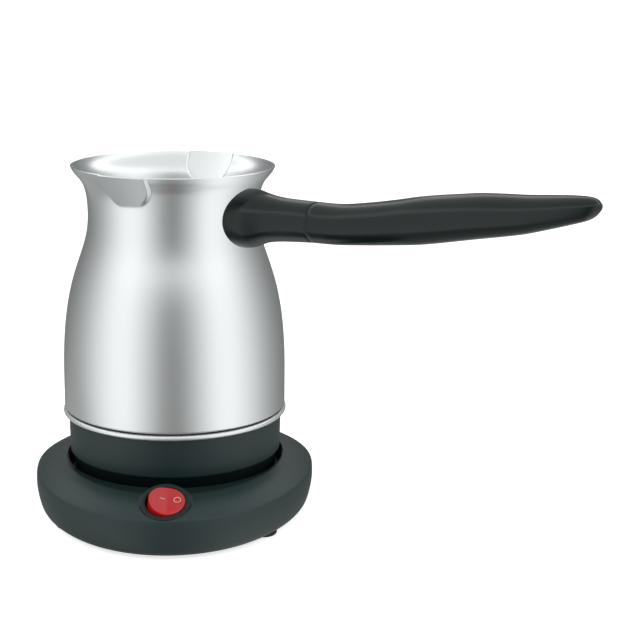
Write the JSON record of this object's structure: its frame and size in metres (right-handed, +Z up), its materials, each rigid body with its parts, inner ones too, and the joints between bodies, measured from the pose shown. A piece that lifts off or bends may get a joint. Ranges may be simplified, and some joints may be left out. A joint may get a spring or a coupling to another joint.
{
  "type": "electric turkish coffee maker",
  "caption": "Waisted steel coffee pot with two pouring lips and a long black handle, lifting off a round cordless heating base with a red rocker switch.",
  "frame": {"origin": "on the pot's axis, at the level of the table under the feet", "axes": "+Z up along the pot's axis, -Y towards the switch at the front, +X to the right seen from the front; the handle points 33.1 degrees from +X towards -Y"},
  "size_m": [0.249, 0.1885, 0.1717],
  "materials": {
    "charcoal_plastic": "satin moulded plastic",
    "black_gloss_plastic": "polished moulded plastic",
    "red_plastic": "translucent polished plastic",
    "black_rubber": "matt rubber",
    "satin_steel": "satin stainless steel",
    "polished_steel": "polished stainless steel",
    "zinc_steel": "zinc-plated steel",
    "brass": "plain brass",
    "aluminium": "plain aluminium",
    "white_nylon": "natural heat-resistant plastic",
    "dark_ceramic": "phenolic moulding",
    "lamp_glass": "clear glass",
    "brown_wire": "wire insulation",
    "black_wire": "wire insulation",
    "blue_wire": "wire insulation",
    "green_wire": "wire insulation",
    "glass_fibre_wire": "heat-proof sleeving"
  },
  "bodies": {
    "base": {"base_shell": "charcoal_plastic", "base_cover": "charcoal_plastic", "base_feet": "black_rubber", "cover_screws": "zinc_steel", "cord_gland": "black_rubber", "terminal_block": "white_nylon", "block_screws": "brass", "coupler_plug": "white_nylon", "live_clip": "brass", "neutral_clip": "brass", "earth_clip": "brass", "coupler_screws": "zinc_steel", "switch_housing": "black_gloss_plastic", "switch_terminals": "brass", "live_wire": "brown_wire", "switched_wire": "black_wire", "neutral_wires": "blue_wire", "earth_wire": "green_wire"},
    "rocker": {"rocker": "red_plastic", "rocker_lamp": "lamp_glass", "rocker_plunger": "brass", "plunger_spring": "zinc_steel"},
    "contact_arm": {"contact_arm": "brass"},
    "pot_contacts": {"socket_pin": "brass", "neutral_ring": "brass", "earth_ring": "brass"},
    "pot": {"vessel": "satin_steel", "trim_ring": "polished_steel", "vessel_seal": "black_rubber", "heat_plate": "aluminium", "heating_element": "zinc_steel", "mounting_posts": "zinc_steel", "skirt": "charcoal_plastic", "skirt_screws": "zinc_steel", "socket_body": "white_nylon", "socket_terminals": "brass", "socket_screws": "zinc_steel", "thermostat_body": "dark_ceramic", "thermostat_cap": "aluminium", "bimetal_disc": "zinc_steel", "thermostat_screws": "zinc_steel", "thermal_fuse": "aluminium", "fuse_clip": "zinc_steel", "fuse_screw": "zinc_steel", "earth_lug": "brass", "earth_screw": "zinc_steel", "pot_wires": "glass_fibre_wire", "handle_bracket": "zinc_steel", "handle_stud": "zinc_steel", "handle_neck": "black_gloss_plastic", "handle_insert": "brass", "handle_grip": "black_gloss_plastic"}
  },
  "joints": [
    {"name": "rocker_tilt", "type": "hinge", "parent": "base", "child": "rocker", "pos_m": [0, -0.07325, 0.02265], "axis": [0, -0.891, -0.454], "range_deg": [0, 20]},
    {"name": "contact_tilt", "type": "hinge", "parent": "base", "child": "contact_arm", "pos_m": [0, -0.07066, 0.01757], "axis": [0, -0.891, -0.454], "range_deg": [-12, 0]},
    {"name": "pot_lift", "type": "slide", "parent": "base", "child": "pot_contacts", "axis": [0, 0, 1], "range_m": [0, 0.1]},
    {"name": "pot_swivel", "type": "hinge", "parent": "pot_contacts", "child": "pot", "pos_m": [0, 0, 0], "axis": [0, 0, 1], "continuous": true}
  ],
  "couplings": [
    {"joint": "contact_tilt", "follows": "rocker_tilt", "ratio": -0.6}
  ]
}
